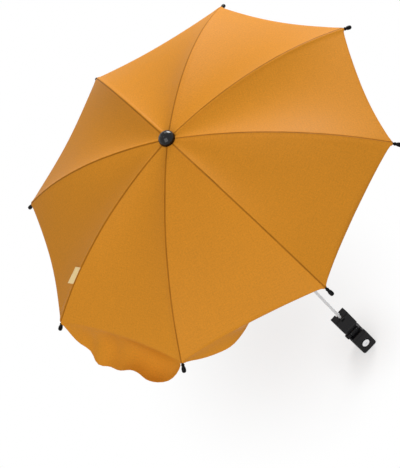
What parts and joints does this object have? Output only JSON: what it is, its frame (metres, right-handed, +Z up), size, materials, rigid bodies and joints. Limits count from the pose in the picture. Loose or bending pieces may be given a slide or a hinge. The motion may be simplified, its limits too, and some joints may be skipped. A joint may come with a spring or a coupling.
{
  "type": "pram parasol",
  "caption": "Fabric parasol with a ribbed folding canopy on a thin shaft that tilts in a two-jaw clamp for a pram's tube.",
  "frame": {"origin": "centre of the clamp's tube bore", "axes": "+Z up along the shaft, +Y along the tube bore, +X towards the clamp's front jaw"},
  "size_m": [0.7536, 0.7536, 0.8947],
  "materials": {
    "canopy_cloth": "plain woven, slight sheen",
    "tag_cloth": "woven ribbon",
    "gloss_black": "gloss moulded",
    "clamp_plastic": "fine moulded grain",
    "hub_plastic": "satin moulded",
    "bright_steel": "zinc plated",
    "rib_steel": "zinc plated wire",
    "spring_steel": "spring steel",
    "shaft_coat": "satin pale grey coat",
    "pad_rubber": "matt rubber"
  },
  "bodies": {
    "clamp": {"clamp_body": "clamp_plastic", "tilt_pin": "bright_steel", "jaw_hinge_pin": "bright_steel", "clamp_washer": "bright_steel", "rear_pad": "pad_rubber"},
    "jaw": {"front_jaw": "clamp_plastic", "front_pad": "pad_rubber"},
    "bolt": {"clamp_bolt": "bright_steel"},
    "knob": {"clamp_knob": "clamp_plastic"},
    "shaft": {"shaft_tube": "shaft_coat", "shaft_foot": "hub_plastic", "crown": "hub_plastic", "crown_wire": "bright_steel", "canopy_washer": "hub_plastic", "ferrule_cap": "gloss_black", "runner_stop": "hub_plastic", "catch_spring": "spring_steel"},
    "runner": {"runner": "hub_plastic"},
    "rib_1": {"rib_1": "rib_steel", "rib_rivet_1": "bright_steel", "tip_cup_1": "gloss_black", "canopy_panel_1": "canopy_cloth"},
    "stretcher_1": {"stretcher_1": "rib_steel"},
    "rib_2": {"rib_2": "rib_steel", "rib_rivet_2": "bright_steel", "tip_cup_2": "gloss_black", "canopy_panel_2": "canopy_cloth"},
    "stretcher_2": {"stretcher_2": "rib_steel"},
    "rib_3": {"rib_3": "rib_steel", "rib_rivet_3": "bright_steel", "tip_cup_3": "gloss_black", "canopy_panel_3": "canopy_cloth"},
    "stretcher_3": {"stretcher_3": "rib_steel"},
    "rib_4": {"rib_4": "rib_steel", "rib_rivet_4": "bright_steel", "tip_cup_4": "gloss_black", "canopy_panel_4": "canopy_cloth"},
    "stretcher_4": {"stretcher_4": "rib_steel"},
    "rib_5": {"rib_5": "rib_steel", "rib_rivet_5": "bright_steel", "tip_cup_5": "gloss_black", "canopy_panel_5": "canopy_cloth"},
    "stretcher_5": {"stretcher_5": "rib_steel"},
    "rib_6": {"rib_6": "rib_steel", "rib_rivet_6": "bright_steel", "tip_cup_6": "gloss_black", "canopy_panel_6": "canopy_cloth", "label_tag": "tag_cloth"},
    "stretcher_6": {"stretcher_6": "rib_steel"},
    "rib_7": {"rib_7": "rib_steel", "rib_rivet_7": "bright_steel", "tip_cup_7": "gloss_black", "canopy_panel_7": "canopy_cloth"},
    "stretcher_7": {"stretcher_7": "rib_steel"},
    "rib_8": {"rib_8": "rib_steel", "rib_rivet_8": "bright_steel", "tip_cup_8": "gloss_black", "canopy_panel_8": "canopy_cloth"},
    "stretcher_8": {"stretcher_8": "rib_steel"}
  },
  "joints": [
    {"name": "shaft_tilt", "type": "hinge", "parent": "clamp", "child": "shaft", "pos_m": [-0.00988, 0, 0.07031], "axis": [0, 1, 0], "range_deg": [-33, 17]},
    {"name": "runner_slide", "type": "slide", "parent": "shaft", "child": "runner", "axis": [0, 0, -1], "range_m": [0, 0.30997], "deforming": ["catch_spring", "canopy_panel_1", "canopy_panel_2", "canopy_panel_3", "canopy_panel_4", "canopy_panel_5", "canopy_panel_6", "canopy_panel_7", "canopy_panel_8"]},
    {"name": "knob_turn", "type": "hinge", "parent": "clamp", "child": "knob", "pos_m": [-0.02119, 0, -0.02166], "axis": [-0.9903, 0, -0.1392], "range_deg": [0, 1800]},
    {"name": "bolt_slide", "type": "slide", "parent": "clamp", "child": "bolt", "axis": [0.9903, 0, 0.1392], "range_m": [0, 0.0064]},
    {"name": "jaw_open", "type": "hinge", "parent": "clamp", "child": "jaw", "pos_m": [-0.00094, 0, 0.02107], "axis": [0, -1, 0], "range_deg": [0, 5.9]},
    {"name": "rib_1_fold", "type": "hinge", "parent": "shaft", "child": "rib_1", "pos_m": [-0.01624, 0.00636, 0.82931], "axis": [-0.7071, -0.7071, 0], "range_deg": [0, 67.1]},
    {"name": "stretcher_1_fold", "type": "hinge", "parent": "rib_1", "child": "stretcher_1", "pos_m": [-0.15462, 0.14474, 0.78803], "axis": [0.7071, 0.7071, 0], "range_deg": [0, 134.2]},
    {"name": "rib_2_fold", "type": "hinge", "parent": "shaft", "child": "rib_2", "pos_m": [-0.00988, 0.009, 0.82931], "axis": [-1, 0, 0], "range_deg": [0, 67.1]},
    {"name": "stretcher_2_fold", "type": "hinge", "parent": "rib_2", "child": "stretcher_2", "pos_m": [-0.00988, 0.20469, 0.78803], "axis": [1, 0, 0], "range_deg": [0, 134.2]},
    {"name": "rib_3_fold", "type": "hinge", "parent": "shaft", "child": "rib_3", "pos_m": [-0.00352, 0.00636, 0.82931], "axis": [-0.7071, 0.7071, 0], "range_deg": [0, 67.1]},
    {"name": "stretcher_3_fold", "type": "hinge", "parent": "rib_3", "child": "stretcher_3", "pos_m": [0.13486, 0.14474, 0.78803], "axis": [0.7071, -0.7071, 0], "range_deg": [0, 134.2]},
    {"name": "rib_4_fold", "type": "hinge", "parent": "shaft", "child": "rib_4", "pos_m": [-0.00088, 0, 0.82931], "axis": [0, 1, 0], "range_deg": [0, 67.1]},
    {"name": "stretcher_4_fold", "type": "hinge", "parent": "rib_4", "child": "stretcher_4", "pos_m": [0.19481, 0, 0.78803], "axis": [0, -1, 0], "range_deg": [0, 134.2]},
    {"name": "rib_5_fold", "type": "hinge", "parent": "shaft", "child": "rib_5", "pos_m": [-0.00352, -0.00636, 0.82931], "axis": [0.7071, 0.7071, 0], "range_deg": [0, 67.1]},
    {"name": "stretcher_5_fold", "type": "hinge", "parent": "rib_5", "child": "stretcher_5", "pos_m": [0.13486, -0.14474, 0.78803], "axis": [-0.7071, -0.7071, 0], "range_deg": [0, 134.2]},
    {"name": "rib_6_fold", "type": "hinge", "parent": "shaft", "child": "rib_6", "pos_m": [-0.00988, -0.009, 0.82931], "axis": [1, 0, 0], "range_deg": [0, 67.1]},
    {"name": "stretcher_6_fold", "type": "hinge", "parent": "rib_6", "child": "stretcher_6", "pos_m": [-0.00988, -0.20469, 0.78803], "axis": [-1, 0, 0], "range_deg": [0, 134.2]},
    {"name": "rib_7_fold", "type": "hinge", "parent": "shaft", "child": "rib_7", "pos_m": [-0.01624, -0.00636, 0.82931], "axis": [0.7071, -0.7071, 0], "range_deg": [0, 67.1]},
    {"name": "stretcher_7_fold", "type": "hinge", "parent": "rib_7", "child": "stretcher_7", "pos_m": [-0.15462, -0.14474, 0.78803], "axis": [-0.7071, 0.7071, 0], "range_deg": [0, 134.2]},
    {"name": "rib_8_fold", "type": "hinge", "parent": "shaft", "child": "rib_8", "pos_m": [-0.01888, 0, 0.82931], "axis": [0, -1, 0], "range_deg": [0, 67.1]},
    {"name": "stretcher_8_fold", "type": "hinge", "parent": "rib_8", "child": "stretcher_8", "pos_m": [-0.21457, 0, 0.78803], "axis": [0, 1, 0], "range_deg": [0, 134.2]}
  ],
  "couplings": [
    {"joint": "bolt_slide", "follows": "knob_turn", "m_per_rad": 0.00019894},
    {"joint": "jaw_open", "follows": "knob_turn", "ratio": 0.0032222},
    {"joint": "rib_1_fold", "follows": "runner_slide", "rad_per_m": 3.7726},
    {"joint": "stretcher_1_fold", "follows": "runner_slide", "rad_per_m": 7.5451},
    {"joint": "rib_2_fold", "follows": "runner_slide", "rad_per_m": 3.7726},
    {"joint": "stretcher_2_fold", "follows": "runner_slide", "rad_per_m": 7.5451},
    {"joint": "rib_3_fold", "follows": "runner_slide", "rad_per_m": 3.7726},
    {"joint": "stretcher_3_fold", "follows": "runner_slide", "rad_per_m": 7.5451},
    {"joint": "rib_4_fold", "follows": "runner_slide", "rad_per_m": 3.7726},
    {"joint": "stretcher_4_fold", "follows": "runner_slide", "rad_per_m": 7.5451},
    {"joint": "rib_5_fold", "follows": "runner_slide", "rad_per_m": 3.7726},
    {"joint": "stretcher_5_fold", "follows": "runner_slide", "rad_per_m": 7.5451},
    {"joint": "rib_6_fold", "follows": "runner_slide", "rad_per_m": 3.7726},
    {"joint": "stretcher_6_fold", "follows": "runner_slide", "rad_per_m": 7.5451},
    {"joint": "rib_7_fold", "follows": "runner_slide", "rad_per_m": 3.7726},
    {"joint": "stretcher_7_fold", "follows": "runner_slide", "rad_per_m": 7.5451},
    {"joint": "rib_8_fold", "follows": "runner_slide", "rad_per_m": 3.7726},
    {"joint": "stretcher_8_fold", "follows": "runner_slide", "rad_per_m": 7.5451}
  ]
}
